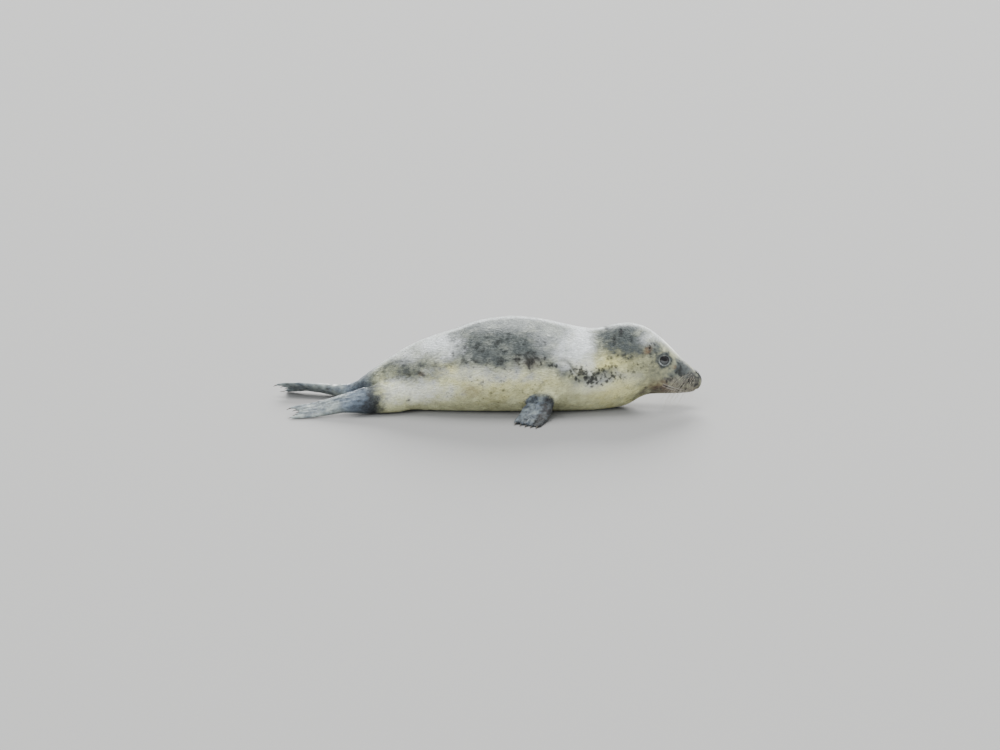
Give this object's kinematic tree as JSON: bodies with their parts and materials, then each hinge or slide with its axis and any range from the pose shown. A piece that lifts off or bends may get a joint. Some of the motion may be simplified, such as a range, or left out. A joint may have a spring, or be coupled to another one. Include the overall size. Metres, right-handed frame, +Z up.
{
  "type": "grey seal",
  "caption": "Young grey seal lying on its belly, head low and stretched forward, fore flippers spread and hind flippers trailing behind.",
  "frame": {"origin": "middle of the part's box, on the floor it lies on", "axes": "+X towards the nose, +Y to the animal's left, +Z up"},
  "size_m": [1.3714, 0.6496, 0.2932],
  "materials": {
    "fur": "short damp fur, cream below and mottled grey above",
    "flipper_fur": "very short blue-grey fur",
    "claw": "smooth dark horn",
    "eye": "wet and glossy"
  },
  "bodies": {
    "root": {"muzzle": "fur", "lower_jaw": "fur", "head": "fur", "neck": "fur", "chest": "fur", "belly": "fur", "hips": "fur", "fore_arm_right": "fur", "fore_arm_left": "fur", "hind_leg_right": "fur", "hind_leg_left": "fur", "tail": "flipper_fur", "fore_flipper_right": "flipper_fur", "fore_flipper_left": "flipper_fur", "hind_flipper_right": "flipper_fur", "hind_flipper_left": "flipper_fur", "eye_right": "eye", "eye_left": "eye", "fore_claw_right_1": "claw", "fore_claw_right_2": "claw", "fore_claw_right_3": "claw", "fore_claw_right_4": "claw", "fore_claw_right_5": "claw", "fore_claw_left_1": "claw", "fore_claw_left_2": "claw", "fore_claw_left_3": "claw", "fore_claw_left_4": "claw", "fore_claw_left_5": "claw", "hind_claw_right_1": "claw", "hind_claw_right_2": "claw", "hind_claw_right_3": "claw", "hind_claw_right_4": "claw", "hind_claw_right_5": "claw", "hind_claw_left_1": "claw", "hind_claw_left_2": "claw", "hind_claw_left_3": "claw", "hind_claw_left_4": "claw", "hind_claw_left_5": "claw"}
  },
  "joints": []
}
